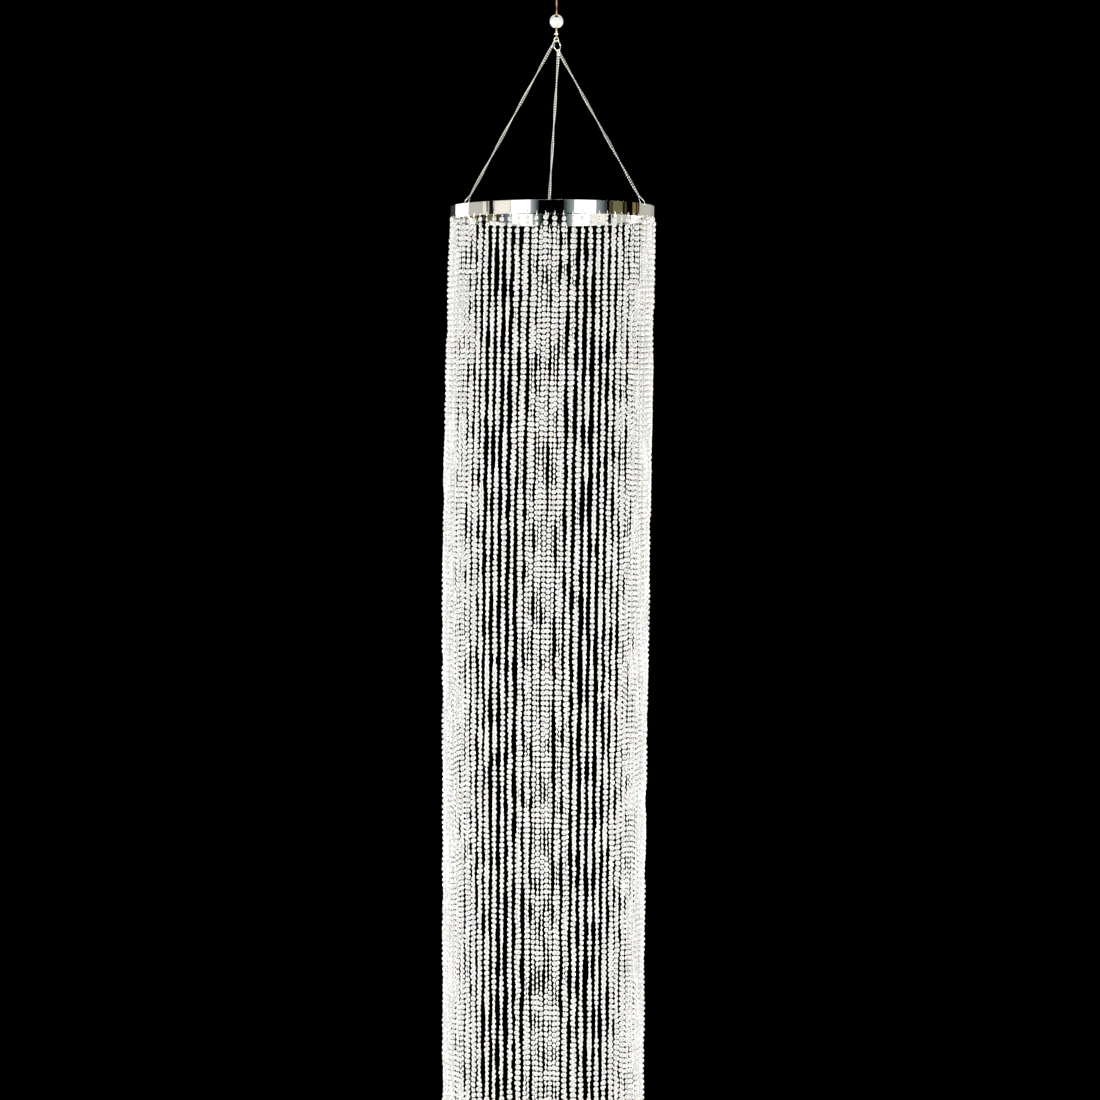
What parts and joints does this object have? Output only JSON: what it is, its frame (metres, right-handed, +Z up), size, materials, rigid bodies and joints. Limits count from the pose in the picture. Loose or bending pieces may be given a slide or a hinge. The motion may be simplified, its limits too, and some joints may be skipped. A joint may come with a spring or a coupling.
{
  "type": "bead curtain",
  "caption": "Round curtain of clear faceted beads on a chrome ring, hung by twisted chains from a tied cord with a white ball.",
  "frame": {"origin": "the inside of the top of the cord's tied loop, where it bears on the hook that holds the curtain up", "axes": "+Z up along the cord, front towards -Y, with one chain at the front left, one at the front right and one at the back; +X to the right seen from the front"},
  "size_m": [0.3163, 0.3142, 2.205],
  "materials": {
    "chrome": "mirror plated",
    "steel_wire": "bright plated wire",
    "clear_beads": "clear, cut in facets",
    "white_ball": "satin white",
    "tan_cord": "tan braided cord"
  },
  "bodies": {
    "root": {"ring_band": "chrome", "strand_group_01": "clear_beads", "strand_group_02": "clear_beads", "strand_group_03": "clear_beads", "strand_group_04": "clear_beads", "strand_group_05": "clear_beads", "strand_group_06": "clear_beads", "strand_group_07": "clear_beads", "strand_group_08": "clear_beads", "strand_group_09": "clear_beads", "strand_group_10": "clear_beads", "strand_group_11": "clear_beads", "strand_group_12": "clear_beads", "chain_left": "steel_wire", "chain_right": "steel_wire", "chain_back": "steel_wire", "top_ring": "steel_wire", "pear_ring": "steel_wire", "jump_ring": "steel_wire", "crimp": "steel_wire", "ball": "white_ball", "cord_eye": "tan_cord", "hanging_loop": "tan_cord", "hanging_cord": "tan_cord"}
  },
  "joints": []
}
